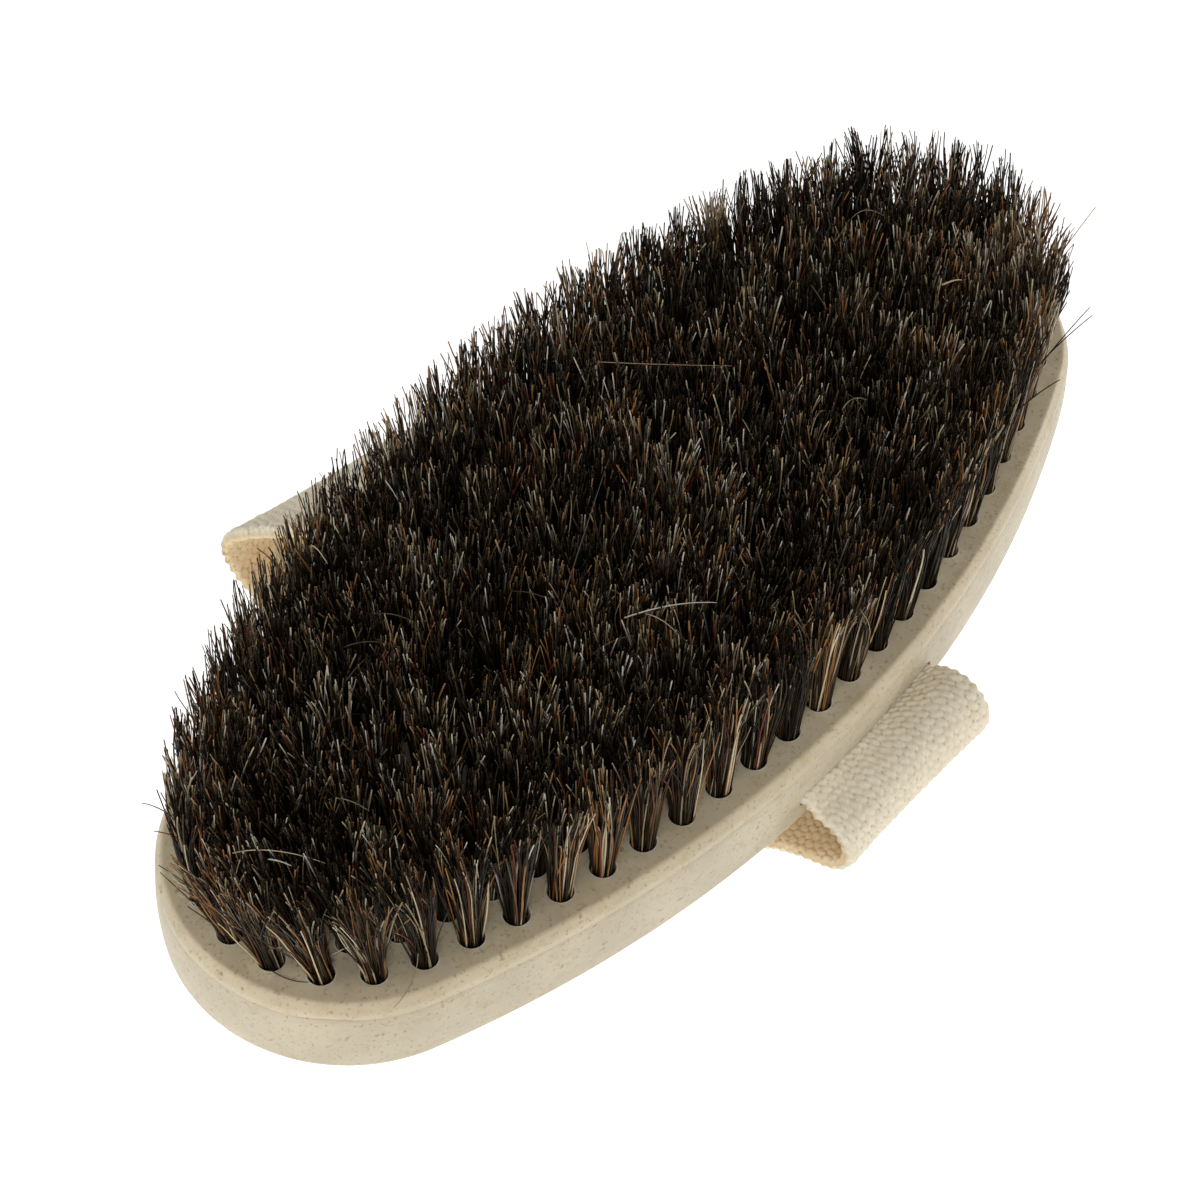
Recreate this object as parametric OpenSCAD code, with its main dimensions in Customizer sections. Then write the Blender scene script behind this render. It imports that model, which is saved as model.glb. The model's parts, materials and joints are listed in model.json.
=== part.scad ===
// Hand brush for dry body brushing: an oval palm brush with natural hair tufts and a webbing hand strap.
// It lies on its back, bristles up, on the slack loop of its own strap.
// X runs along the brush, Y across it (front is -Y), Z up. Millimetres.

/* [Back] */
// Length of the oval back
back_length = 140; // [120:1:150]
// Width of the oval back
back_width = 60.8; // [56:0.2:66]
// Total thickness of the back, shell and bristle plate together
back_thickness = 12; // [11.5:0.1:14]
// Radius of the oval's ends in plan
end_radius = 20.6; // [18:0.2:24]
// Radius of the rounded edge around the bristle plate
edge_radius = 2.3; // [1.5:0.1:2.5]
// Wall thickness of the back shell
shell_wall = 2; // [1.6:0.1:2.2]
// Floor thickness of the back shell
shell_floor = 2; // [1.5:0.1:2.5]

/* [Bristles] */
// Length of the bristles above the plate
bristle_length = 15; // [12:0.5:20]
// Diameter of a tuft hole
hole_diameter = 2.9; // [2.6:0.1:3]
// Depth of a tuft hole
hole_depth = 4.6; // [4:0.1:5]
// Spacing of the tufts along a ring
tuft_pitch = 5.45; // [5.3:0.05:6.5]
// Spacing of the rings
ring_pitch = 4.1; // [4.1:0.1:4.5]
// Place of a ring's first tuft beyond its end, as a part of the spacing along the ring
first_tuft = 0.67; // [0.5:0.01:0.75]
// Distance from the outline to the middle of the outermost tufts
ring_margin = 4.2; // [4.2:0.1:5]
// Outward lean of the outermost tufts at the long sides, in degrees
side_lean = 3; // [0:0.5:6]
// Outward lean of the outermost tufts at the two ends, in degrees
end_lean = 9; // [4:0.5:12]

/* [Strap] */
// Width of the webbing
strap_width = 24.8; // [20:0.2:26]
// Thickness of the webbing
strap_thickness = 1.8; // [1.4:0.1:1.9]
// Place of the front slot's middle along the brush
front_slot_x = 3; // [-4:0.5:4]
// Place of the rear slot's middle along the brush
rear_slot_x = -2.6; // [-4:0.2:4]
// Height of the back above the surface that the strap lies on
hand_depth = 20; // [20:0.5:26]

/* [Hidden] */
$fn = 48;
gap = 0.15;                       // clearance between the moulded halves
sink = 0.01;
arc_steps = 10;                   // points on each end arc of the outline, per quarter
side_steps = 24;                  // points on each side arc of the outline

// The oval is four arcs: two ends of end_radius and two long sides of side_radius, tangent where they meet.
end_x = back_length / 2 - end_radius;
side_radius = (end_x ^ 2 + back_width ^ 2 / 4 - end_radius ^ 2) / (back_width - 2 * end_radius);
side_y = side_radius - back_width / 2;
join_angle = atan2(side_y, end_x);

back_z = hand_depth;                               // underside of the back
top_z = back_z + back_thickness;                   // face that the tufts stand on
seam_z = top_z - edge_radius;                      // where the plate meets the shell's rim
plug_z = back_z + 6;                               // underside of the plate's plug inside the shell
slot_height = strap_thickness + 0.2;
strap_z = plug_z - 0.2 - strap_thickness / 2;      // middle of the strap's thickness in its slots
foot_radius = 1.6;                                 // rounded lower edge of the shell
foot_slices = 4;
edge_slices = 5;

tuft_root_radius = hole_diameter / 2 - 0.05;
root_clearance = 0.1;                              // under the root, at the bottom of the hole
tuft_tip_radius = 2;
anchor_height = 1.6;
anchor_thickness = 0.35;
anchor_bite = 0.1;                                 // how far each end of an anchor bites into its hole's wall
RINGS = 7;
sharp_radius = 1;
crowded_y = tuft_tip_radius + 0.05;                // half the least distance between two tufts

staple_wire = 0.9;
staple_span = 9;
staple_room = 0.4;                                 // between a staple's points and the tuft holes
staple_leg = top_z - hole_depth - staple_room - (strap_z - strap_thickness / 2 - staple_wire);
strap_end_y = 15;                                  // how near to the middle the strap's ends reach
wall_y = back_width / 2;

// ---- outline ----

// Points of the oval, moved inwards by inset, anticlockwise.
function arc_points(cx, cy, r, from, to, steps) =
    [for (i = [0 : steps - 1]) let (a = from + (to - from) * i / steps) [cx + r * cos(a), cy + r * sin(a)]];
function oval_points(inset) = concat(
    arc_points(end_x, 0, end_radius - inset, -join_angle, join_angle, 2 * arc_steps),
    arc_points(0, -side_y, side_radius - inset, join_angle, 180 - join_angle, side_steps),
    arc_points(-end_x, 0, end_radius - inset, 180 - join_angle, 180 + join_angle, 2 * arc_steps),
    arc_points(0, side_y, side_radius - inset, 180 + join_angle, 360 - join_angle, side_steps));

module oval(inset, low, high)
    translate([0, 0, low]) linear_extrude(high - low) polygon(oval_points(inset));

// ---- tuft places ----

// Ring number k lies this far inside the outline.
function ring_inset(k) = ring_margin + (k - 1) * ring_pitch;
// A ring whose end would be rounded by less than sharp_radius has pointed ends, where its two side arcs cross.
function ring_end_radius(k) = let (r = end_radius - ring_inset(k)) r < sharp_radius ? 0 : r;
function ring_side_radius(k) = side_radius - ring_inset(k);
function ring_side_start(k) =
    ring_end_radius(k) > 0 ? join_angle : asin(min(1, side_y / ring_side_radius(k)));
function arc_length(r, degrees) = r * degrees * PI / 180;
function end_arc(k) = arc_length(ring_end_radius(k), 2 * join_angle);
function side_arc(k) = arc_length(ring_side_radius(k), 180 - 2 * ring_side_start(k));
function ring_length(k) = 2 * (end_arc(k) + side_arc(k));
function ring_count(k) = 2 * round(ring_length(k) / tuft_pitch / 2);

// The tuft at a distance s round half of ring k, from the middle of the end arc: [x, y].
function half_ring_tuft(k, s) =
    let (half_end = end_arc(k) / 2)
    s < half_end ? end_tuft(k, 1, s / ring_end_radius(k) * 180 / PI)
    : s < half_end + side_arc(k)
        ? side_tuft(k, ring_side_start(k) + (s - half_end) / ring_side_radius(k) * 180 / PI)
    : end_tuft(k, -1, 180 - join_angle + (s - half_end - side_arc(k)) / ring_end_radius(k) * 180 / PI);
function end_tuft(k, side, a) = [side * end_x + ring_end_radius(k) * cos(a), ring_end_radius(k) * sin(a)];
function side_tuft(k, a) = [ring_side_radius(k) * cos(a), ring_side_radius(k) * sin(a) - side_y];

// A ring with round ends starts first_tuft of a pitch beyond each end. One that comes to a point starts
// there, and where its two sides would crowd each other, one tuft on the long axis stands for both.
function ring_tufts(k) =
    let (half = ring_count(k) / 2, step = ring_length(k) / ring_count(k), pointed = ring_end_radius(k) == 0)
    [for (side = [0, 1], i = [0 : half - 1])
        let (found = half_ring_tuft(k, (i + (pointed ? 0 : first_tuft)) * step))
        let (crowded = pointed && found[1] < crowded_y, t = crowded ? [found[0], 0] : found)
        if (!crowded || t[0] > 0) side == 0 ? t : -t];

// The centre row is one straight line of tufts, as far as the ring round it leaves a whole ring pitch.
centre_half = sqrt(ring_side_radius(RINGS - 1) ^ 2 - (side_y + ring_pitch) ^ 2);
centre_count = 2 * floor(centre_half / tuft_pitch) + 1;
centre_tufts = [for (i = [0 : centre_count - 1]) [(i - (centre_count - 1) / 2) * tuft_pitch, 0]];

function tuft_places(k) = k < RINGS ? ring_tufts(k) : centre_tufts;

// Tufts lean outwards: in proportion across the brush, and along it only near its ends.
function lean_across(t) = side_lean * t[1] / (wall_y - ring_margin);
function lean_along(t) = end_lean * sign(t[0]) * abs(t[0] / (back_length / 2 - ring_margin)) ^ 4;

// ---- strap path ----

// The strap's middle line seen along X, as [y, height over the surface]. Heights in the slots are strap_z.
band_z = strap_thickness / 2;
front_loop_path = [[-strap_end_y, strap_z], [-wall_y, strap_z], [-33.6, strap_z - 0.2], [-36.6, back_z + 3],
    [-37.4, back_z + 0.2], [-35.9, back_z - 2.9], [-32.6, back_z - 4.5], [-28.6, back_z - 5.9]];
front_slope_path = [[-28.3, back_z - 6], [-24.6, back_z - 8.6], [-21, back_z - 12.4], [-17.4, back_z - 16],
    [-13.4, band_z + 0.7], [-8.6, band_z]];
rear_curl_path = [[40, band_z], [44.6, band_z + 0.5], [48.6, band_z + 1.9]];
rear_loop_path = [[48.9, band_z + 2.1], [51.6, band_z + 4.3], [52.5, band_z + 7], [51.2, band_z + 10],
    [47.8, back_z - 6.4], [43.4, back_z - 2.2], [39.4, back_z + 1.4], [35.6, strap_z - 0.9],
    [32.6, strap_z - 0.1], [wall_y, strap_z], [strap_end_y, strap_z]];

// Outline of a band of the given thickness along a path.
function unit(v) = v / norm(v);
function turned(v) = [-v[1], v[0]];
function heading(path, i) =
    unit(path[min(i + 1, len(path) - 1)] - path[max(i - 1, 0)]);
function side_of(path, i, distance) = path[i] + distance * turned(heading(path, i));
function band_outline(path, thickness) = concat(
    [for (i = [0 : len(path) - 1]) side_of(path, i, thickness / 2)],
    [for (i = [len(path) - 1 : -1 : 0]) side_of(path, i, -thickness / 2)]);
// Corners are rounded by cutting them twice.
function cut_corners(path) = concat([path[0]],
    [for (i = [0 : len(path) - 2])
        each [path[i] * 0.75 + path[i + 1] * 0.25, path[i] * 0.25 + path[i + 1] * 0.75]],
    [path[len(path) - 1]]);

// A stretch of strap: the band outline, drawn in Y and Z, runs across X.
module strap_stretch(path, middle_x)
    translate([middle_x - strap_width / 2, 0, 0])
        rotate([90, 0, 90])
            linear_extrude(strap_width) polygon(band_outline(cut_corners(path), strap_thickness));

// ---- sub-parts ----

// Moulded wall and back with a slot for the strap in each long side.
module back_shell() color("wheat") difference() {
    hull() {
        oval(0, back_z + foot_radius, seam_z);
        for (i = [0 : foot_slices - 1]) {
            a = 90 * i / foot_slices;
            oval(foot_radius * (1 - cos(a)), back_z + foot_radius * (1 - sin(a)), seam_z);
        }
        oval(foot_radius, back_z, seam_z);
    }
    oval(shell_wall, back_z + shell_floor, seam_z + 1);
    strap_slot(front_slot_x, -wall_y);
    strap_slot(rear_slot_x, wall_y);
}

module strap_slot(middle_x, y)
    translate([middle_x - strap_width / 2 - gap, y - 2 * shell_wall, strap_z - slot_height / 2])
        cube([strap_width + 2 * gap, 4 * shell_wall, slot_height]);

// Moulded plate with a rounded rim and a plug that fits inside the shell; every tuft hole is blind.
module bristle_plate() color("wheat") difference() {
    union() {
        hull() for (i = [0 : edge_slices]) {
            a = 90 * i / edge_slices;
            oval(edge_radius * (1 - cos(a)), seam_z, seam_z + max(edge_radius * sin(a), sink));
        }
        oval(shell_wall + gap, plug_z, seam_z + sink);
    }
    for (k = [1 : RINGS], t = tuft_places(k))
        along_hole(t) translate([0, 0, -hole_depth]) cylinder(d = hole_diameter, h = hole_depth + 1);
}

// Places something at the mouth of a tuft hole, with Z out along the hole, which leans as its tuft does.
module along_hole(t)
    translate([t[0], t[1], top_z]) rotate([-lean_across(t), lean_along(t), 0]) children();

// Tufts of one ring: a straight root in the hole, then a bundle that flares.
module tufts(k) color("#2b1d14") for (t = tuft_places(k)) along_hole(t) {
    translate([0, 0, root_clearance - hole_depth])
        cylinder(r = tuft_root_radius, h = hole_depth - root_clearance);
    cylinder(r1 = tuft_root_radius, r2 = tuft_tip_radius, h = bristle_length);
}

// Flat wire anchors of one ring, pressed across the bottom of each hole.
module anchors(k) color("silver") for (t = tuft_places(k)) along_hole(t)
    translate([-hole_diameter / 2 - anchor_bite, -anchor_thickness / 2, root_clearance - hole_depth])
        cube([hole_diameter + 2 * anchor_bite, anchor_thickness, anchor_height]);

// Two wire staples that hold one end of the strap up against the plate's plug.
module strap_staples(middle_x, side) color("silver") for (along = [-1, 1])
    translate([middle_x + along * strap_width / 4, side * (strap_end_y + 4),
            strap_z - strap_thickness / 2 - staple_wire]) {
        translate([-staple_span / 2, -staple_wire / 2, 0]) cube([staple_span, staple_wire, staple_wire]);
        for (leg = [-1, 1])
            translate([leg * (staple_span - staple_wire) / 2, 0, sink])
                cylinder(d = staple_wire, h = staple_leg);
    }

module strap_front_loop() color("linen") strap_stretch(front_loop_path, front_slot_x);
module strap_rear_loop() color("linen") strap_stretch(rear_loop_path, rear_slot_x);

// The stretch that the hand goes under: down from the front loop, flat on the surface, and up to the rear loop.
module strap_palm_band() color("linen") {
    strap_stretch(front_slope_path, front_slot_x);
    strap_stretch(rear_curl_path, rear_slot_x);
    front_y = front_slope_path[len(front_slope_path) - 1][0] - sink;
    rear_y = rear_curl_path[0][0] + sink;
    linear_extrude(strap_thickness) polygon([
        [front_slot_x - strap_width / 2, front_y], [front_slot_x + strap_width / 2, front_y],
        [rear_slot_x + strap_width / 2, rear_y], [rear_slot_x - strap_width / 2, rear_y]]);
}

back_shell();
bristle_plate();
strap_front_loop();
strap_palm_band();
strap_rear_loop();
strap_staples(front_slot_x, -1);  // strap_front_staples
strap_staples(rear_slot_x, 1);  // strap_rear_staples
for (k = [1 : RINGS - 1]) {
    tufts(k);
    anchors(k);
}
tufts(RINGS);  // tufts_centre_row
anchors(RINGS);  // anchors_centre_row
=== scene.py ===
import json
import math

import bpy
import numpy as np
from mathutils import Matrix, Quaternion, Vector
from mathutils.geometry import delaunay_2d_cdt


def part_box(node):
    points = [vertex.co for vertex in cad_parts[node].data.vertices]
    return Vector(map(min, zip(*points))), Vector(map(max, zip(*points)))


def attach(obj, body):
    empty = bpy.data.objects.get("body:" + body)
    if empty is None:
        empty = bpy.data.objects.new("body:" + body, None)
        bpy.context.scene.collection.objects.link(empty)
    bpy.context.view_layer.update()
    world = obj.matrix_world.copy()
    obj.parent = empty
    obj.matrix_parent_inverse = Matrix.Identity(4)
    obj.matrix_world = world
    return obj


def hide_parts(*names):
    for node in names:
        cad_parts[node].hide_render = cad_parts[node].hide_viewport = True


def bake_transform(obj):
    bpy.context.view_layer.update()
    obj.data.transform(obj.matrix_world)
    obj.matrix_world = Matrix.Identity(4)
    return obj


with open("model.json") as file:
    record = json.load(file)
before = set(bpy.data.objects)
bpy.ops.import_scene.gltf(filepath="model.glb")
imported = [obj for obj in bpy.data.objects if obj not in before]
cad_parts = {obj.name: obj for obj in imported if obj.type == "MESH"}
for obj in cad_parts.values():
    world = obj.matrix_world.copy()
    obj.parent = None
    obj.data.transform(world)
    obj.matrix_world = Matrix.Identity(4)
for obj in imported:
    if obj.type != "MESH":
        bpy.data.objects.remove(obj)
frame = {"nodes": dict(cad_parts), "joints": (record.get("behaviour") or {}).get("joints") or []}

MM = 0.001
SEED = 7
rng = np.random.default_rng(SEED)


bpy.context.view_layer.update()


# ---- meshes ----

def mesh_object(name, points, faces, materials, material_index=None, sharp=None):
    """A smooth mesh from points and (n, corners) arrays of faces. Edges over sharp degrees stay sharp."""
    mesh = bpy.data.meshes.new(name)
    points = np.asarray(points, np.float32).reshape(-1, 3)
    faces = [np.asarray(f, np.int32) for f in faces if len(f)]
    corners = np.concatenate([np.full(len(f), f.shape[1], np.int32) for f in faces])
    loops = np.concatenate([f.ravel() for f in faces])
    mesh.vertices.add(len(points))
    mesh.vertices.foreach_set("co", points.ravel())
    mesh.loops.add(len(loops))
    mesh.loops.foreach_set("vertex_index", loops)
    mesh.polygons.add(len(corners))
    mesh.polygons.foreach_set("loop_start", np.concatenate([[0], np.cumsum(corners)[:-1]]).astype(np.int32))
    for material in materials:
        mesh.materials.append(material)
    if material_index is not None:
        mesh.polygons.foreach_set("material_index", np.asarray(material_index, np.int32))
    mesh.update(calc_edges=True)
    mesh.validate()
    mesh.shade_smooth()
    if sharp is not None:
        mesh.set_sharp_from_angle(angle=math.radians(sharp))
    obj = bpy.data.objects.new(name, mesh)
    bpy.context.scene.collection.objects.link(obj)
    return obj


def ring_quads(low, high, count):
    """Quads between two closed rings of points that start at these indices."""
    i = np.arange(count)
    j = (i + 1) % count
    return np.stack([low + i, low + j, high + j, high + i], axis=1)


# ---- the oval back's outline ----

shell_low, shell_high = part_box("back_shell")
plate_low, plate_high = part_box("bristle_plate")
HALF_LENGTH = (shell_high.x - shell_low.x) / 2
HALF_WIDTH = (shell_high.y - shell_low.y) / 2
UNDERSIDE, SEAM, TOP = shell_low.z, shell_high.z, plate_high.z
END_RADIUS = 20.6 * MM
END_X = HALF_LENGTH - END_RADIUS
SIDE_RADIUS = (END_X**2 + HALF_WIDTH**2 - END_RADIUS**2) / (2 * (HALF_WIDTH - END_RADIUS))
SIDE_Y = SIDE_RADIUS - HALF_WIDTH
JOIN = math.atan2(SIDE_Y, END_X)
END_STEPS, SIDE_STEPS = 64, 116
OUTLINE = 2 * (END_STEPS + SIDE_STEPS)


def outline(inset):
    """The oval moved inwards by one inset, or by one for each point, anticlockwise: (OUTLINE, 2) points."""
    def arc(x, y, radius, start, end, steps):
        a = start + (end - start) * np.arange(steps) / steps
        return np.full(steps, x), np.full(steps, y), np.full(steps, radius), a
    arcs = (arc(END_X, 0, END_RADIUS, -JOIN, JOIN, END_STEPS),
            arc(0, -SIDE_Y, SIDE_RADIUS, JOIN, math.pi - JOIN, SIDE_STEPS),
            arc(-END_X, 0, END_RADIUS, math.pi - JOIN, math.pi + JOIN, END_STEPS),
            arc(0, SIDE_Y, SIDE_RADIUS, math.pi + JOIN, 2 * math.pi - JOIN, SIDE_STEPS))
    x, y, radius, a = (np.concatenate(part) for part in zip(*arcs))
    return np.stack([x + (radius - inset) * np.cos(a), y + (radius - inset) * np.sin(a)], axis=1)


def swept(profile):
    """Points and wall quads of the outline swept through (inset, height) steps."""
    points = np.concatenate([np.column_stack([outline(i), np.broadcast_to(z, OUTLINE)]) for i, z in profile])
    quads = np.concatenate([ring_quads(k * OUTLINE, (k + 1) * OUTLINE, OUTLINE)
                            for k in range(len(profile) - 1)])
    return points, quads


# ---- materials ----

def new_material(name, roughness, colour=(1, 1, 1), specular=0.5):
    material = bpy.data.materials.new(name)
    material.use_nodes = True
    shader = material.node_tree.nodes["Principled BSDF"]
    shader.inputs["Base Color"].default_value = (*colour, 1)
    shader.inputs["Roughness"].default_value = roughness
    shader.inputs["Specular IOR Level"].default_value = specular
    return material, material.node_tree, shader


def translucent(shader, weight, reach):
    """Lets light spread inside the material, furthest in red. Reach is in metres."""
    shader.inputs["Subsurface Weight"].default_value = weight
    shader.inputs["Subsurface Scale"].default_value = reach
    shader.inputs["Subsurface Radius"].default_value = (1.0, 0.72, 0.45)


def add(tree, kind, values=(), **settings):
    node = tree.nodes.new(kind)
    for key, value in settings.items():
        setattr(node, key, value)
    for key, value in dict(values).items():
        node.inputs[key].default_value = value
    return node


def place_of(tree):
    return add(tree, "ShaderNodeTexCoord").outputs["Object"]


def noise_of(tree, place, scale, detail=2.0, roughness=0.5):
    node = add(tree, "ShaderNodeTexNoise", {"Scale": scale, "Detail": detail, "Roughness": roughness})
    tree.links.new(place, node.inputs["Vector"])
    return node.outputs["Fac"]


def ramp_of(tree, value, low, high, out_low=0.0, out_high=1.0):
    node = add(tree, "ShaderNodeMapRange",
               {"From Min": low, "From Max": high, "To Min": out_low, "To Max": out_high})
    tree.links.new(value, node.inputs["Value"])
    return node.outputs["Result"]


def mixed(tree, share, a, b):
    """A mix of two colours, each a socket or a constant."""
    node = add(tree, "ShaderNodeMix", data_type="RGBA")
    tree.links.new(share, node.inputs["Factor"])
    for socket, colour in ((node.inputs[6], a), (node.inputs[7], b)):
        if isinstance(colour, tuple):
            socket.default_value = (*colour, 1)
        else:
            tree.links.new(colour, socket)
    return node.outputs[2]


def bump(tree, shader, height, distance, strength=1.0):
    node = add(tree, "ShaderNodeBump", {"Strength": strength, "Distance": distance})
    tree.links.new(height, node.inputs["Height"])
    tree.links.new(node.outputs["Normal"], shader.inputs["Normal"])


def moulded(name, pale, fleck_strength):
    """Moulded plastic with plant fibre: beige, softly mottled, full of fine faint brown flecks."""
    def tinted(red, green, blue):
        return pale[0] * red, pale[1] * green, pale[2] * blue

    material, tree, shader = new_material(name, 0.46, specular=0.35)
    translucent(shader, 0.2, 0.002)
    place = place_of(tree)
    mottle = ramp_of(tree, noise_of(tree, place, 150, 3), 0.35, 0.65)
    colour = mixed(tree, mottle, tinted(0.94, 0.94, 0.94), tinted(1.05, 1.05, 1.05))
    browner = ramp_of(tree, noise_of(tree, place, 520, 4, 0.7), 0.50, 0.74, 0, 0.6)
    colour = mixed(tree, browner, colour, tinted(0.80, 0.72, 0.58))
    fine = ramp_of(tree, noise_of(tree, place, 2200, 2, 0.5), 0.59, 0.70, 0, fleck_strength)
    colour = mixed(tree, fine, colour, tinted(0.62, 0.52, 0.40))
    coarse = ramp_of(tree, noise_of(tree, place, 1100, 2, 0.4), 0.67, 0.77, 0, 0.75 * fleck_strength)
    colour = mixed(tree, coarse, colour, tinted(0.42, 0.34, 0.26))
    tree.links.new(colour, shader.inputs["Base Color"])
    bump(tree, shader, noise_of(tree, place, 900, 4, 0.6), 0.00008, 0.6)
    return material


def cotton(name, dark, pale, light_through):
    """Undyed cotton yarn: matt, with fine fibres, from the dark to the pale colour."""
    material, tree, shader = new_material(name, 0.92, specular=0.10)
    translucent(shader, light_through, 0.0015)
    place = place_of(tree)
    fibres = noise_of(tree, place, 2600, 3, 0.7)
    colour = mixed(tree, ramp_of(tree, noise_of(tree, place, 420, 3), 0.3, 0.7), dark, pale)
    colour = mixed(tree, ramp_of(tree, fibres, 0.5, 0.75, 0, 0.3), colour, tuple(0.82 * c for c in dark))
    tree.links.new(colour, shader.inputs["Base Color"])
    bump(tree, shader, fibres, 0.00014, 0.8)
    return material


def drawn_wire():
    material, tree, shader = new_material("drawn_wire", 0.34)
    shader.inputs["Metallic"].default_value = 1.0
    place = place_of(tree)
    colour = mixed(tree, ramp_of(tree, noise_of(tree, place, 900), 0.3, 0.7),
                   (0.52, 0.52, 0.54), (0.66, 0.66, 0.68))
    tree.links.new(colour, shader.inputs["Base Color"])
    return material


BACK = moulded("moulded_back_beige", (0.535, 0.467, 0.340), 0.62)
# The plate's colour is yellower than the back's: painted warm light that the brown hair bounces onto it.
PLATE = moulded("moulded_plate_painted_hair_bounce", (0.565, 0.480, 0.330), 0.62)
RIM = moulded("moulded_hole_rim", (0.70, 0.635, 0.51), 0.2)
COTTON = [cotton("webbing_yarn", (0.78, 0.69, 0.525), (0.86, 0.78, 0.62), 0.1),
          # The pits' darker colour is painted shade in the hollows between the yarns.
          cotton("webbing_painted_pit_shade", (0.64, 0.545, 0.39), (0.70, 0.61, 0.455), 0.1),
          # The inner face's golden colours are painted warm light bounced inside the loops, and its pits are
          # darker still as painted shade.
          cotton("webbing_painted_inner_bounce", (0.76, 0.605, 0.375), (0.84, 0.70, 0.48), 0.3),
          cotton("webbing_painted_inner_bounce_and_pit_shade", (0.60, 0.44, 0.24), (0.66, 0.505, 0.30), 0.3)]
WIRE = drawn_wire()


# ---- tufts, as the frame places them ----

def welded_parts(obj):
    """The points of each separate solid in a CAD node."""
    co = np.zeros(len(obj.data.vertices) * 3)
    obj.data.vertices.foreach_get("co", co)
    points, index = np.unique(np.round(co.reshape(-1, 3), 6), axis=0, return_inverse=True)
    index = index.ravel()
    obj.data.calc_loop_triangles()
    tris = np.zeros(len(obj.data.loop_triangles) * 3, np.int32)
    obj.data.loop_triangles.foreach_get("vertices", tris)
    tris = index[tris.reshape(-1, 3)]
    label = np.arange(len(points))
    while True:
        least = label[tris].min(axis=1)
        before = label.copy()
        for corner in range(3):
            np.minimum.at(label, tris[:, corner], least)
        label = label[label]
        if (label == before).all():
            break
    return [points[label == k] for k in np.unique(label)]


def tuft_line(points):
    """(mouth, axis) of one tuft: where its middle line leaves the plate, and the way that it points."""
    low = points[points[:, 2] < points[:, 2].min() + 0.8 * MM].mean(axis=0)
    high = points[points[:, 2] > points[:, 2].max() - 1.2 * MM].mean(axis=0)
    axis = (high - low) / np.linalg.norm(high - low)
    return low + axis * (TOP - low[2]) / axis[2], axis


RING_NAMES = [f"ring_{k}" for k in range(1, 7)] + ["centre_row"]
TUFTS = {r: [tuft_line(p) for p in welded_parts(frame["nodes"][f"tufts_{r}"])] for r in RING_NAMES}
ALL_TUFTS = [t for r in RING_NAMES for t in TUFTS[r]]


# ---- back shell ----

FOOT, WALL, FLOOR, BULGE = 1.6 * MM, 2 * MM, 2 * MM, 0.22 * MM
SHELL_SHARP = 40
# The seam's edge: its depth where it is closed and the extra depth where it stands open, then the middle and
# the spread of that opening, in degrees round the near end.
SEAM_CLOSED, SEAM_OPEN = 0.035 * MM, 0.42 * MM
SEAM_OPEN_TURN, SEAM_OPEN_SPREAD = 217, 8
# A slot: its room past the strap's edges, its height each side of its middle, and how far the cut reaches.
SLOT_ROOM, SLOT_HALF_HEIGHT, SLOT_CUT = 0.2 * MM, 1.02 * MM, 3.2 * MM
SLOT_ROUND = 0.6   # how far a slot's round end reaches along it, as a share of its half height


def seam_edge():
    """The depth of the seam's edge round the oval: closed almost everywhere, open at the near end's front."""
    x, y = outline(0).T
    turn = np.degrees(np.arctan2(y, x + END_X)) % 360
    opening = np.exp(-((turn - SEAM_OPEN_TURN) / SEAM_OPEN_SPREAD) ** 2) * (x < -END_X)
    return SEAM_CLOSED + SEAM_OPEN * opening


SEAM_EDGE = seam_edge()


def back_shell():
    profile = [(FOOT * (1 - math.sin(a)), UNDERSIDE + FOOT * (1 - math.cos(a)))
               for a in np.linspace(0, math.pi / 2, 9)]
    foot_top = UNDERSIDE + FOOT
    for t in np.linspace(0, 1, 9)[1:]:
        z = foot_top + (SEAM - SEAM_EDGE - foot_top) * t
        profile.append((-BULGE * math.sin(math.pi * t) ** 0.8, z))
    profile += [(SEAM_EDGE * 0.4, SEAM - SEAM_EDGE * 0.3), (SEAM_EDGE, SEAM),
                (WALL, SEAM), (WALL, UNDERSIDE + FLOOR)]
    points, quads = swept(profile)
    last = (len(profile) - 1) * OUTLINE
    caps = np.stack([np.arange(OUTLINE)[::-1], last + np.arange(OUTLINE)])
    shell = mesh_object("back_shell_moulding", points, [quads, caps], [BACK], sharp=SHELL_SHARP)
    slot_z = frame["joints"][0]["deforming_nodes"][0]["fixed_end_z_m"]
    for node, side in (("strap_front_loop", -1), ("strap_rear_loop", 1)):
        low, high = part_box(node)
        cut_slot(shell, (low.x + high.x) / 2, side * HALF_WIDTH, slot_z, (high.x - low.x) / 2 + SLOT_ROOM,
                 SLOT_HALF_HEIGHT)
    return shell


def cut_slot(shell, x, y, z, half_width, half_height):
    """A slot with round ends, through the wall."""
    steps = 10
    quarter = math.pi / 2
    a = np.concatenate([np.linspace(-quarter, quarter, steps), np.linspace(quarter, 3 * quarter, steps)])
    reach = half_width - half_height * SLOT_ROUND
    side = np.concatenate([np.full(steps, reach), np.full(steps, -reach)])
    across = np.column_stack([x + side + half_height * SLOT_ROUND * np.cos(a), z + half_height * np.sin(a)])
    count = len(across)
    points = np.concatenate([np.column_stack([across[:, 0], np.full(count, y + d), across[:, 1]])
                             for d in (SLOT_CUT, -SLOT_CUT)])
    ends = np.stack([np.arange(count), count + np.arange(count)[::-1]])
    cutter = mesh_object("slot_cutter", points, [ring_quads(0, count, count)[:, ::-1], ends[:, ::-1]], [BACK])
    modifier = shell.modifiers.new("slot", "BOOLEAN")
    modifier.object, modifier.operation, modifier.solver = cutter, "DIFFERENCE", "EXACT"
    depsgraph = bpy.context.evaluated_depsgraph_get()
    mesh = bpy.data.meshes.new_from_object(shell.evaluated_get(depsgraph))
    shell.modifiers.clear()
    shell.data = mesh
    mesh.set_sharp_from_angle(angle=math.radians(SHELL_SHARP))
    bpy.data.objects.remove(cutter)


# ---- bristle plate ----

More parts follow.
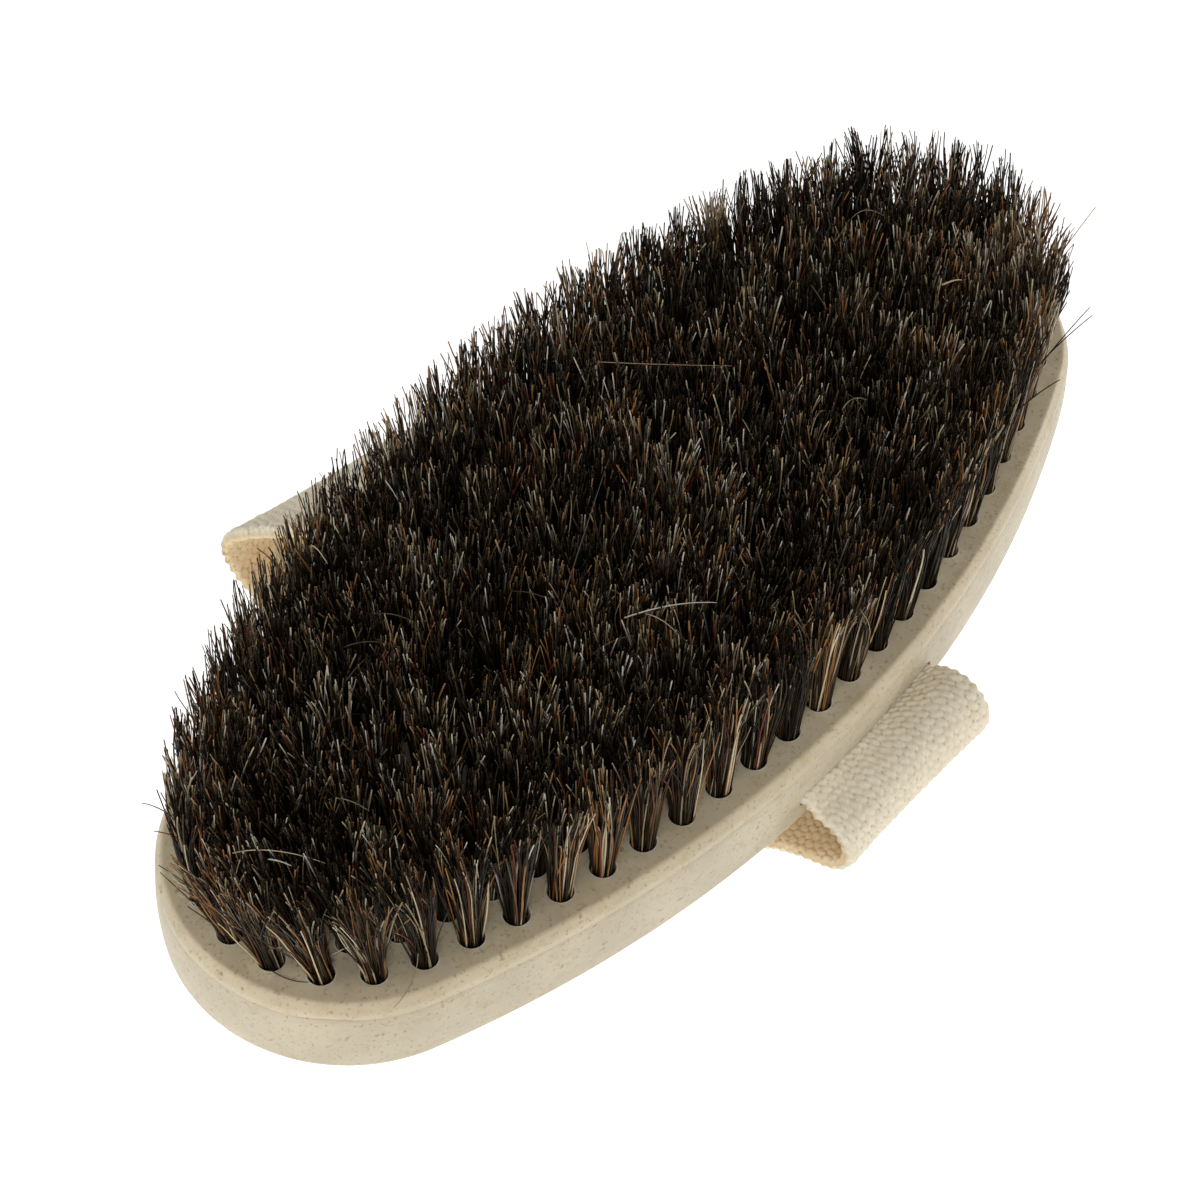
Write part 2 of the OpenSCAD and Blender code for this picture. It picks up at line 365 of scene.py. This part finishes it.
# The plate's outer edge from the seam up, as (inset, drop below the top) in millimetres: a steep band between
# two small roundings.
PLATE_EDGE = [(0, 1.60), (0.02, 1.42), (0.07, 1.22), (0.14, 1.05), (0.28, 0.78), (0.43, 0.50), (0.54, 0.32),
              (0.63, 0.20), (0.74, 0.10), (0.86, 0.035), (1.0, 0.006), (1.15, 0)]
HOLE = 1.45 * MM
HOLE_FACE = 1.77 * MM   # where a hole's rim meets the flat face
HOLE_POINTS = 26
HOLE_DEPTH = 4.2 * MM
BURR_HEIGHTS, BURR_SHARES = [0.03, 0.06, 0.16], [0.45, 0.35, 0.2]


def hole_rings(mouth, axis):
    """Rings of points round one tuft hole, from the flat face to the bottom. The rim has an uneven burr."""
    a = 2 * math.pi * np.arange(HOLE_POINTS) / HOLE_POINTS
    lean = np.array([axis[0], axis[1], 0])
    tilt = math.hypot(*lean[:2])
    out = lean / tilt if tilt > 1e-4 else np.array([1.0, 0, 0])
    side = np.array([-out[1], out[0], 0])
    circle = np.cos(a)[:, None] * out / axis[2] + np.sin(a)[:, None] * side
    phase = rng.uniform(0, 2 * math.pi, 3)
    rough = 0.5 + 0.3 * np.sin(2 * a + phase[0]) + 0.2 * np.sin(5 * a + phase[1])
    burr = rng.choice(BURR_HEIGHTS, p=BURR_SHARES) * MM * np.clip(rough, 0, 1)
    up = np.array([0, 0, 1.0])
    crest = HOLE + (0.16 + 0.05 * np.sin(3 * a + phase[2])) * MM
    return [mouth + circle * HOLE_FACE,
            mouth + circle * crest[:, None] + burr[:, None] * up,
            mouth + circle * (HOLE + 0.05 * MM) + (0.8 * burr)[:, None] * up,
            mouth + circle * HOLE - 0.08 * MM * up,
            mouth + circle * HOLE * 0.97 - axis * HOLE_DEPTH]


def bristle_plate():
    profile = [(WALL + 0.15 * MM, plate_low.z), (WALL + 0.15 * MM, SEAM), (SEAM_EDGE, SEAM),
               (SEAM_EDGE * 0.4, SEAM + SEAM_EDGE * 0.3)]
    profile += [(inset * MM, TOP - drop * MM) for inset, drop in PLATE_EDGE]
    points, quads = swept(profile)
    rim = (len(profile) - 1) * OUTLINE
    points, faces, start = [points], [quads, np.arange(OUTLINE)[::-1][None]], len(points)
    # The flat face with its holes: its corners in the plane, its edges, and each corner's place in points.
    flat = [points[0][rim + k, :2] for k in range(OUTLINE)]
    edges = [(k, (k + 1) % OUTLINE) for k in range(OUTLINE)]
    place = [rim + k for k in range(OUTLINE)]
    rim_faces = []
    for mouth, axis in ALL_TUFTS:
        rings = hole_rings(mouth, axis)
        first = len(flat)
        flat += [p[:2] for p in rings[0]]
        place += [start + k for k in range(HOLE_POINTS)]
        edges += [(first + k, first + (k + 1) % HOLE_POINTS) for k in range(HOLE_POINTS)]
        points += rings
        for k in range(len(rings) - 1):
            band = ring_quads(start + k * HOLE_POINTS, start + (k + 1) * HOLE_POINTS, HOLE_POINTS)
            (rim_faces if k in (1, 2) else faces).append(band)
        bottom = start + (len(rings) - 1) * HOLE_POINTS
        faces.append((bottom + np.arange(HOLE_POINTS))[None])
        start += len(rings) * HOLE_POINTS
    cut = delaunay_2d_cdt([Vector(p) * 1000 for p in flat], edges, [], 1, 1e-5)
    if len(cut[0]) != len(flat):
        raise RuntimeError("the plate's holes touch each other or its edge")
    tris = np.array(cut[2])
    corners = np.array(flat)[tris]
    turn = np.cross(corners[:, 1] - corners[:, 0], corners[:, 2] - corners[:, 0])
    tris[turn < 0] = tris[turn < 0][:, ::-1]
    middles = corners.mean(axis=1)
    mouths = np.array([m[:2] for m, _ in ALL_TUFTS])
    nearest = np.array([np.hypot(*(mouths - m).T).min() for m in middles])
    inside = np.array([same_hole(t) for t in tris]) & (nearest < HOLE_FACE)
    faces.append(np.array(place)[tris[~inside]])
    index = np.repeat([0, 1], [sum(len(f) for f in faces), sum(len(f) for f in rim_faces)])
    return mesh_object("bristle_plate_moulding", np.concatenate(points), faces + rim_faces, [PLATE, RIM],
                       index, sharp=50)


def same_hole(corners):
    """True if all three corners are on the rim of one hole."""
    holes = {(c - OUTLINE) // HOLE_POINTS if c >= OUTLINE else -1 for c in corners}
    return len(holes) == 1 and -1 not in holes


# ---- hair ----

# Shades of the hair: name, colour, roughness, share of the inner strands, share of the outer ring's strands.
SHADES = [
    ("black", (0.0115, 0.0086, 0.0050), 0.38, 0.455, 0.355),
    ("soot", (0.0200, 0.0146, 0.0084), 0.38, 0.210, 0.150),
    ("umber", (0.0330, 0.0200, 0.0105), 0.38, 0.105, 0.145),
    ("chestnut", (0.0850, 0.0330, 0.0150), 0.38, 0.050, 0.085),
    ("russet", (0.1700, 0.0420, 0.0190), 0.38, 0.010, 0.016),
    ("amber", (0.3200, 0.1500, 0.0500), 0.38, 0.030, 0.090),
    ("walnut", (0.1050, 0.0800, 0.0450), 0.40, 0.045, 0.043),
    ("tan", (0.3300, 0.2550, 0.1550), 0.40, 0.036, 0.062),
    ("straw", (0.5500, 0.4500, 0.2900), 0.42, 0.017, 0.040),
    ("ash", (0.6000, 0.5600, 0.4800), 0.44, 0.014, 0.008),
    ("grey", (0.1150, 0.1080, 0.0920), 0.42, 0.028, 0.006)]
HAIR = [new_material("hair_" + name, rough, colour, 0.09)[0] for name, colour, rough, _, _ in SHADES]
SHADE_INDEX = {s[0]: k for k, s in enumerate(SHADES)}
SHARES = {outer: np.array([s[4 if outer else 3] for s in SHADES]) for outer in (False, True)}
# How much more of each shade a paler tuft has, as a factor for each step paler.
LIGHT = np.array([0.35, 0.7, 1.0, 1.4, 1.4, 1.9, 1.5, 2.2, 2.3, 2.2, 1.0])
# The shade that a strand's cut tip has, for each shade of strand: paler, as the light comes through it.
PALER_NAMES = ("umber", "walnut", "walnut", "amber", "amber", "tan", "tan", "straw", "ash", "ash", "ash")
PALER = np.array([SHADE_INDEX[n] for n in PALER_NAMES])
PALE_TIPS = 0.28   # share of strands with a paler tip
STRANDS_PER_TUFT = 92
LOCKS = 20   # thin locks that one tuft's tips may gather into
STATIONS = np.array([-0.085, 0.0, 0.12, 0.28, 0.45, 0.60, 0.72, 0.82, 0.91, 1.0])   # shares of a strand
SIDES = 3
TOP_LENGTH = 15.3 * MM
LONGEST = TOP_LENGTH + 1.7 * MM
PACKED_RADIUS = 1.33 * MM   # of a tuft in its hole
SHORT_SHARE = 0.22   # share of strands that end short of the rest


def strand_mesh(name, lines, radii, shades):
    """Closed thin strands. lines is (n, stations, 3), radii (n, stations), shades (n, stations - 1)."""
    count, stations = radii.shape
    tangent = np.gradient(lines, axis=1)
    tangent /= np.linalg.norm(tangent, axis=2, keepdims=True)
    guide = np.where((np.abs(tangent[:, :1, 2:]) > 0.7), np.array([1.0, 0, 0]), np.array([0, 0, 1.0]))
    side = np.cross(tangent, np.broadcast_to(guide, tangent.shape))
    side /= np.linalg.norm(side, axis=2, keepdims=True)
    other = np.cross(tangent, side)
    turn = rng.uniform(0, 2 * math.pi, count)
    rings = []
    for k in range(SIDES):
        a = (turn + 2 * math.pi * k / SIDES)[:, None, None]
        rings.append(lines + radii[..., None] * (np.cos(a) * side + np.sin(a) * other))
    points = np.stack(rings, axis=2).reshape(-1, 3)
    strand = (np.arange(count) * stations * SIDES)[:, None, None]
    step = (np.arange(stations - 1) * SIDES)[None, :, None]
    k = np.arange(SIDES)[None, None, :]
    j = (k + 1) % SIDES
    ring = strand + step
    quads = np.stack([ring + k, ring + j, ring + SIDES + j, ring + SIDES + k], axis=-1).reshape(-1, 4)
    first = strand[:, 0] + np.arange(SIDES)[::-1][None]
    last = strand[:, 0] + (stations - 1) * SIDES + np.arange(SIDES)[None]
    index = np.concatenate([np.repeat(shades, SIDES, axis=1).ravel(), shades[:, 0], PALER[shades[:, -1]]])
    return mesh_object(name, points, [quads, first, last], HAIR, index)


def tuft_strands(mouth, axis, count, outer):
    """Lines, radii and shades of one tuft's strands: tight in the hole, then flaring into thin locks."""
    outward = mouth[:2] / np.array([HALF_LENGTH, HALF_WIDTH]) ** 2
    outward /= max(np.linalg.norm(outward), 1e-9)
    angle = rng.uniform(0, 2 * math.pi, count)
    radius = PACKED_RADIUS * np.sqrt(rng.uniform(0, 1, count))
    root = np.column_stack([np.cos(angle), np.sin(angle)]) * radius[:, None]
    flare = rng.normal(2.35 if outer else 1.95, 0.15)
    tip = root * flare + rng.normal(0, 0.65 * MM, (count, 2)) + rng.normal(0, 0.25 * MM, 2)
    locks = rng.normal(0, 1.6 * MM, (LOCKS, 2))
    reach = ((tip[:, None] - locks[None]) ** 2).sum(axis=2) + rng.uniform(0, (0.9 * MM) ** 2, (count, LOCKS))
    lock = np.argmin(reach, axis=1)
    pull = np.where(rng.uniform(0, 1, count) < 0.7, rng.uniform(0.3, 0.9, count), 0)[:, None]
    tip = tip * (1 - pull) + locks[lock] * pull
    hook = rng.normal(0, 0.55 * MM, (LOCKS, 2))[lock] + rng.normal(0, 0.42 * MM, (count, 2))
    wild = rng.uniform(0, 1, count) < (0.07 if outer else 0.04)
    tip[wild] += rng.normal(0, 1.5 * MM, (wild.sum(), 2))
    if outer:
        beyond = np.clip((tip + hook) @ outward - (1.6 + 1.0 * near_front(mouth)) * MM, 0, None)
        tip -= 0.75 * beyond[:, None] * outward
    tip += swept_aside(mouth)
    length = TOP_LENGTH + rng.normal(0, 0.55 * MM, count) + rng.normal(0, 0.5 * MM, LOCKS)[lock]
    length += rng.normal(0, 0.15 * MM)
    short = rng.uniform(0, 1, count) < SHORT_SHARE
    length[short] *= rng.uniform(0.62, 0.96, short.sum())
    length = length.clip(None, LONGEST)
    t = STATIONS[None]
    rise = np.clip(t, 0, 1)
    spread = rise ** rng.uniform(0.95, 1.5, count)[:, None]
    offset = root[:, None] + (tip - root)[:, None] * spread[..., None]
    offset += hook[:, None] * (np.clip((rise - 0.5) / 0.5, 0, 1) ** 1.7)[..., None]
    wave = rng.normal(0, 0.20 * MM, (count, 2))
    turns = rng.uniform(0.4, 1.3, count)[:, None]
    swing = np.sin(2 * math.pi * turns * rise + rng.uniform(0, 6.28, (count, 1))) * rise
    offset += wave[:, None] * swing[..., None]
    lines = mouth + (t * length[:, None])[..., None] * axis
    lines[..., :2] += offset
    thick = rng.normal(0.104, 0.019, count).clip(0.065, 0.16) * MM
    radii = thick[:, None] * np.interp(STATIONS, [0, 0.55, 1], [1, 0.95, 0.66])[None]
    shares = SHARES[outer] * LIGHT ** (rng.normal(0, 0.7) + paler_region(mouth, outer))
    shade = rng.choice(len(SHADES), count, p=shares / shares.sum())
    shades = np.repeat(shade[:, None], len(STATIONS) - 1, axis=1)
    pale = rng.uniform(0, 1, count) < PALE_TIPS
    shades[pale, -1] = PALER[shade[pale]]
    return lines, radii, shades


def near_front(mouth):
    """1 for the tufts at the near end's front, 0 away from them."""
    return np.clip((-mouth[0] - 44 * MM) / (16 * MM), 0, 1) * np.clip((9 * MM - mouth[1]) / (8 * MM), 0, 1)


def paler_region(mouth, outer):
    """How many steps paler a tuft is: most at the far end's front, some in the near end's outer ring."""
    far = np.clip((mouth[0] - 44 * MM) / (14 * MM), 0, 1) * np.clip((4 * MM - mouth[1]) / (10 * MM), 0, 1)
    near = np.clip((-mouth[0] - 48 * MM) / (12 * MM), 0, 1)
    return 1.1 * far + 0.6 * near * outer


def swept_aside(mouth):
    """How far handling has bent a tuft's tips, inwards at both ends, but outwards at the near front."""
    near = np.clip((-mouth[0] - 44 * MM) / (16 * MM), 0, 1) - near_front(mouth)
    far = np.clip((mouth[0] - 40 * MM) / (24 * MM), 0, 1)
    return np.array([2.1 * near - 0.8 * near_front(mouth) - 1.8 * far, 0.5 - 0.5 * near]) * MM


def tuft_hair(ring):
    made = [tuft_strands(mouth, axis, STRANDS_PER_TUFT, ring == "ring_1") for mouth, axis in TUFTS[ring]]
    lines, radii, shades = (np.concatenate(part) for part in zip(*made))
    hair = strand_mesh("hair_" + ring, lines, radii, shades)
    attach(hair, "brush")
    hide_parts("tufts_" + ring)


LOOSE_STATIONS = 12
SCATTERED = 40   # short loose hairs at random, as well as the placed ones


def loose_strand(start, middle, end, radius, shade):
    """One long strand on a smooth curve, in millimetres. The middle point pulls the curve."""
    t = np.linspace(0, 1, LOOSE_STATIONS)[:, None]
    a, b, c = (np.array(p) * MM for p in (start, middle, end))
    line = a * (1 - t) ** 2 + 2 * b * t * (1 - t) + c * t**2
    radii = np.interp(t[:, 0], [0, 0.2, 1], [radius, radius, 0.55 * radius]) * MM
    return line, radii, np.full(LOOSE_STATIONS - 1, SHADE_INDEX[shade])


def loose_hair():
    """Long strands that have come loose and lie across the tips, over the edge or on the plate."""
    made = [
        loose_strand((-65.2, 0.9, 46.6), (-62.8, -2.2, 48.6), (-60.0, -6.8, 46.4), 0.07, "straw"),
        loose_strand((-63.7, -2.6, 47.2), (-63.3, -3.8, 47.7), (-62.8, -4.9, 47.2), 0.11, "ash"),
        loose_strand((-55.6, -15.0, 36.5), (-57.6, -17.6, 33.2), (-61.6, -17.1, 32.15), 0.075, "tan"),
        loose_strand((-62.6, -9.6, 35.6), (-61.0, -11.6, 38.0), (-59.2, -13.0, 38.8), 0.08, "straw"),
        loose_strand((-66.6, -4.6, 32.5), (-66.3, -7.0, 32.1), (-65.0, -8.4, 32.1), 0.07, "umber"),
        loose_strand((-16.4, -9.8, 47.0), (-12.4, -13.2, 49.0), (-9.0, -16.4, 48.0), 0.10, "ash"),
        loose_strand((-14.9, -11.4, 47.6), (-14.5, -13.6, 48.4), (-14.6, -15.8, 47.2), 0.07, "straw"),
        loose_strand((61.8, -11.0, 39.0), (64.2, -12.2, 44.0), (66.6, -13.8, 49.6), 0.085, "amber"),
        loose_strand((44.6, -19.4, 40.0), (49.0, -20.6, 44.4), (54.2, -22.2, 46.6), 0.11, "umber"),
        loose_strand((44.9, -19.6, 39.6), (50.0, -20.4, 44.0), (54.6, -21.5, 47.2), 0.10, "soot"),
        loose_strand((35.6, -20.9, 38.5), (40.2, -22.6, 44.0), (44.0, -24.8, 45.8), 0.12, "black"),
        loose_strand((45.2, -7.0, 48.3), (46.2, -8.2, 49.4), (47.1, -8.4, 48.6), 0.15, "straw"),
        loose_strand((10.2, 15.8, 47.4), (13.0, 9.0, 49.4), (19.6, 3.8, 47.6), 0.06, "tan"),
        loose_strand((-19.6, -3.6, 46.4), (-10.0, 0.4, 49.8), (1.6, 6.6, 46.4), 0.07, "grey"),
        loose_strand((-31.0, 22.0, 47.0), (-31.6, 20.6, 49.6), (-31.8, 18.6, 47.6), 0.09, "straw"),
        loose_strand((-62.8, 8.2, 37.5), (-65.0, 9.4, 42.0), (-67.0, 10.4, 43.6), 0.10, "russet"),
        loose_strand((-62.6, 9.8, 39.0), (-64.2, 11.4, 44.0), (-66.2, 12.6, 45.6), 0.09, "soot")]
    for _ in range(SCATTERED):
        x, turn, reach = rng.uniform(-56, 56), rng.uniform(0, 2 * math.pi), rng.uniform(2, 6)
        y = rng.uniform(-0.62, 0.62) * 24 * math.sqrt(1 - (x / 70) ** 2)
        dx, dy = reach * math.cos(turn), reach * math.sin(turn)
        pull = (x + dx * 0.5 + rng.normal(0, 0.6), y + dy * 0.5 + rng.normal(0, 0.6), 48.2)
        made.append(loose_strand((x, y, 46.4), pull, (x + dx, y + dy, rng.uniform(45.0, 47.8)),
                                 rng.uniform(0.05, 0.08), rng.choice(["tan", "walnut", "grey", "umber"])))
    lines, radii, shades = (np.stack(part) for part in zip(*made))
    hair = strand_mesh("hair_loose", lines, radii, shades)
    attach(hair, "brush")


# ---- strap ----

STRAP_WIDTH, STRAP_LENGTH = 24.8 * MM, 168.5 * MM
# The weave: a yarn's width, the length and slant of a float, and the spacing of the loops along the selvedge.
YARN, FLOAT, SLANT, PICK = 0.80 * MM, 1.5 * MM, math.radians(31), 1.25 * MM
HALF_THICK, RELIEF = 0.58 * MM, 0.36 * MM
# Pits below this height take the darker cotton, which is painted shade.
PIT_HEIGHT = 0.34   # the surface below this share of a yarn's height is a pit between yarns
EDGE_ROUND = 0.75 * MM
ACROSS, ALONG = 150, 840
REST_HEIGHT = 0.01 * MM   # the lowest that the strap reaches, just above the floor


def smooth_path(knots, count):
    """Evenly spaced points on a smooth curve through the knots."""
    p = np.array(knots, float)
    p = np.concatenate([[2 * p[0] - p[1]], p, [2 * p[-1] - p[-2]]])
    out = []
    for a, b, c, d in zip(p, p[1:], p[2:], p[3:]):
        t = np.linspace(0, 1, 24, endpoint=False)[:, None]
        out.append(0.5 * (2 * b + (c - a) * t + (2 * a - 5 * b + 4 * c - d) * t**2
                          + (3 * b - a - 3 * c + d) * t**3))
    out = np.concatenate(out + [p[-2:-1]])
    far = np.concatenate([[0], np.cumsum(np.linalg.norm(np.diff(out, axis=0), axis=1))])
    at = np.linspace(0, far[-1], count)
    return np.column_stack([np.interp(at, far, out[:, k]) for k in range(out.shape[1])]), far[-1]


def strap_edges():
    """Middle lines of the strap's two edges, in millimetres: x, y, z."""
    front_x, rear_x, slot, flat = 3.0, -2.6, 24.9, 0.92
    half = STRAP_WIDTH / MM / 2
    inner = [(-15, slot, slot), (-22, slot, slot), (-28.4, slot, slot)]
    # y and z of the -X edge, then of the +X edge: the front loop is a little conical.
    front = [(-30.6, 24.8, -30.4, 25.0), (-32.5, 23.8, -32.1, 26.2), (-34.5, 23.2, -33.9, 26.9),
             (-36.1, 22.1, -35.9, 26.5), (-36.9, 20.0, -37.5, 25.0), (-36.3, 18.0, -38.1, 22.8),
             (-34.7, 16.6, -37.5, 20.3), (-32.4, 15.7, -35.7, 18.0), (-29.9, 14.8, -32.8, 16.2),
             (-26.9, 13.2, -29.2, 14.6), (-23.9, 10.6, -25.6, 12.2), (-21.0, 7.6, -22.3, 8.9),
             (-17.6, 4.2, -18.6, 5.2), (-13.6, 1.7, -14.2, 2.1)]
    # The rear loop's near edge reaches further back than its far one.
    rear = [(43.6, 1.15, 40.6, 1.15), (48.7, 2.8, 44.6, 2.8), (51.6, 4.7, 46.9, 5.0), (53.1, 7.3, 47.7, 7.8),
            (52.4, 10.3, 46.8, 11.0), (49.1, 13.8, 44.6, 14.4), (44.4, 17.6, 41.6, 17.9),
            (40.2, 21.0, 38.4, 21.1), (36.2, 23.6, 35.3, 23.6), (33.2, 24.7, 32.9, 24.7),
            (30.4, slot, 30.4, slot), (27, slot, 27, slot), (22, slot, 22, slot), (15, slot, 15, slot)]
    left, right = [], []
    for y, zl, zr in inner:
        left.append((front_x - half, y, zl))
        right.append((front_x + half, y, zr))
    for yl, zl, yr, zr in front:
        left.append((front_x - half, yl, zl))
        right.append((front_x + half, yr, zr))
    for y in (-8.6, 0, 10, 20, 30, 36):
        x = front_x + (rear_x - front_x) * (y + 8.6) / 44.6
        left.append((x - half, y, flat))
        right.append((x + half, y, flat))
    for yl, zl, yr, zr in rear:
        left.append((rear_x - half, yl, zl))
        right.append((rear_x + half, yr, zr))
    return left, right


def weave(across, along, face):
    """0 to 1, the surface yarns' height: slanted floats in rows, each row half a float on from the last."""
    u = along * math.cos(SLANT) + across * math.sin(SLANT)
    v = across * math.cos(SLANT) - along * math.sin(SLANT)
    # The rows and the floats wander a little, as cotton does.
    v = (v + 0.22 * MM * np.sin(u / (1.9 * MM) + 2 * face)
         + 0.15 * MM * np.sin(u / (0.83 * MM) + v / (2.7 * MM)))
    u = u + 0.35 * MM * np.sin(v / (2.3 * MM) + 0.7 * np.sin(u / (4.1 * MM)))
    row = np.floor(v / YARN)
    x = v / YARN - row - 0.5
    phase = (u / FLOAT + 0.5 * (row % 2) + 0.35 * scattered(row, face)
             + 0.10 * np.sin(v / (1.3 * MM) + u / (3.7 * MM)))
    y = phase - np.floor(phase) - 0.5
    full = 0.62 + 0.38 * scattered(row, np.floor(phase) + 7 * face)
    return full * np.sqrt(np.clip(1 - (x / 0.52) ** 2, 0, 1) * np.clip(1 - np.abs(y / 0.5) ** 3, 0, 1))


def scattered(a, b):
    """A repeatable number from 0 to 1 for each pair."""
    value = np.sin(a * 12.9898 + b * 78.233) * 43758.5453
    return value - np.floor(value)


def hand_strap():
    left, right = strap_edges()
    left, left_length = smooth_path(left, ALONG)
    right, right_length = smooth_path(right, ALONG)
    length = (left_length + right_length) / 2 * MM
    along = np.linspace(0, length, ALONG)[None, :]
    across = (np.arange(ACROSS) / (ACROSS - 1))[:, None] * STRAP_WIDTH
    share = across / STRAP_WIDTH
    middle = (left[None] * (1 - share[..., None]) + right[None] * share[..., None]) * MM
    d_along = np.gradient(middle, axis=1)
    d_across = np.gradient(middle, axis=0)
    d_across /= np.linalg.norm(d_across, axis=2, keepdims=True)
    normal = np.cross(d_across, d_along)
    normal /= np.linalg.norm(normal, axis=2, keepdims=True)
    edge = np.minimum(across, STRAP_WIDTH - across)
    round_edge = np.sqrt(np.clip(1 - (1 - np.clip(edge / EDGE_ROUND, 0, 1)) ** 2, 0, 1))
    scallop = 0.5 + 0.5 * np.cos(2 * math.pi * along / PICK + np.where(share < 0.5, 0, math.pi))
    nudge = (0.34 * MM * scallop - 0.24 * MM) * np.clip(1 - edge / (0.9 * MM), 0, 1)
    middle = middle + (nudge * np.where(share < 0.5, -1, 1))[..., None] * d_across
    sides, shades = [], []
    for face, sign in ((0, 1), (1, -1)):
        yarns = weave(across, along, face)
        height = (HALF_THICK + RELIEF * yarns) * round_edge
        sides.append(middle + sign * height[..., None] * normal)
        # A pit's faces take the darker cotton: painted shade between the yarns.
        pit = (yarns[:-1, :-1] + yarns[1:, :-1] + yarns[1:, 1:] + yarns[:-1, 1:]) / 4 < PIT_HEIGHT
        # Face 0, the inner face, takes the golden copies of the cotton: painted bounce light.
        shades.append((2 * (1 - face) + pit).ravel())
    top, bottom = sides
    points = np.concatenate([top.reshape(-1, 3), bottom.reshape(-1, 3)])
    points[:, 2] = np.maximum(points[:, 2], REST_HEIGHT)
    index = np.arange(ACROSS * ALONG).reshape(ACROSS, ALONG)
    a, b, c, d = index[:-1, :-1], index[1:, :-1], index[1:, 1:], index[:-1, 1:]
    top_quads = np.stack([a, b, c, d], axis=-1).reshape(-1, 4)
    faces = [top_quads, top_quads[:, ::-1] + ACROSS * ALONG]
    loop = np.concatenate([index[:-1, 0], index[-1, :-1], index[1:, -1][::-1], index[0, 1:][::-1]])
    after = np.roll(loop, -1)
    faces.append(np.stack([after, loop, loop + ACROSS * ALONG, after + ACROSS * ALONG], axis=1))
    shades.append(np.zeros(len(loop), np.int32))
    strap = mesh_object("hand_strap", points, faces, COTTON, np.concatenate(shades))
    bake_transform(strap)
    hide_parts("strap_front_loop", "strap_palm_band", "strap_rear_loop")


# ---- stage ----

def backdrop(radius):
    """A pale wall round the floor for low views. Only the camera sees it, so the brush's light stays."""
    material, _, shader = new_material("backdrop_paper", 0.9, (0, 0, 0), 0)
    shader.inputs["Emission Color"].default_value = (1, 1, 1, 1)
    shader.inputs["Emission Strength"].default_value = 0.985
    steps = 96
    turn = 2 * math.pi * np.arange(steps) / steps
    foot, top = (np.column_stack([radius * np.cos(turn), radius * np.sin(turn), np.full(steps, z)])
                 for z in (-0.5, 3.0))
    wall = mesh_object("backdrop", np.concatenate([foot, top]), [ring_quads(0, steps, steps)], [material])
    for ray in ("diffuse", "glossy", "transmission", "volume_scatter", "shadow"):
        setattr(wall, "visible_" + ray, False)


def studio():
    scene = bpy.context.scene
    floor_material, _, shader = new_material("floor_paper", 0.9, (0.82, 0.82, 0.82), 0.1)
    shader.inputs["Emission Color"].default_value = (1, 1, 1, 1)
    shader.inputs["Emission Strength"].default_value = 0.68
    size = 3.0
    floor = mesh_object("floor", [(-size, -size, 0), (size, -size, 0), (size, size, 0), (-size, size, 0)],
                        [np.array([[0, 1, 2, 3]])], [floor_material])
    # The brush stands on its strap, so the floor stays under the strap when it drops away from the back.
    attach(floor, "palm_band")
    backdrop(size)
    world = bpy.data.worlds.new("studio")
    world.use_nodes = True
    world.node_tree.nodes["Background"].inputs["Color"].default_value = (1, 1, 1, 1)
    world.node_tree.nodes["Background"].inputs["Strength"].default_value = 0.36
    scene.world = world

    def softbox(name, place, aim, size, power):
        light = bpy.data.lights.new(name, "AREA")
        light.shape, light.size, light.energy = "SQUARE", size, power
        obj = bpy.data.objects.new(name, light)
        obj.location = place
        obj.rotation_euler = (Vector(aim) - Vector(place)).to_track_quat("-Z", "Y").to_euler()
        scene.collection.objects.link(obj)

    softbox("front_softbox", (-0.62, -0.51, 0.66), (0, 0, 0.02), 0.5, 3.6)
    softbox("side_softbox", (0.9, -0.45, 0.17), (0, 0, 0.02), 0.3, 3.2)
    softbox("back_softbox", (-0.80, 0.60, 0.45), (0, 0, 0.02), 0.5, 2.6)
    scene.view_settings.view_transform = "Standard"


def camera():
    lens = bpy.data.cameras.new("camera")
    lens.sensor_width, lens.lens = 36.0, 98.0
    lens.clip_start, lens.clip_end = 0.01, 20
    obj = bpy.data.objects.new("camera", lens)
    place, aim, roll = Vector((-0.1918, -0.1394, 0.3161)), Vector((-0.0064, 0.0011, 0.032)), 2.9
    obj.location = place
    obj.rotation_mode = "QUATERNION"
    facing = (aim - place).to_track_quat("-Z", "Y")
    obj.rotation_quaternion = facing @ Quaternion((0, 0, 1), math.radians(roll))
    bpy.context.scene.collection.objects.link(obj)
    bpy.context.scene.camera = obj


# ---- the brush ----

for piece, node in ((back_shell(), "back_shell"), (bristle_plate(), "bristle_plate")):
    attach(piece, "brush")
    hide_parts(node)
for ring in RING_NAMES:
    tuft_hair(ring)
loose_hair()
hand_strap()
for name, node in frame["nodes"].items():
    if name.startswith("anchors_") or name.endswith("_staples"):
        node.data.materials.clear()
        node.data.materials.append(WIRE)
studio()
camera()
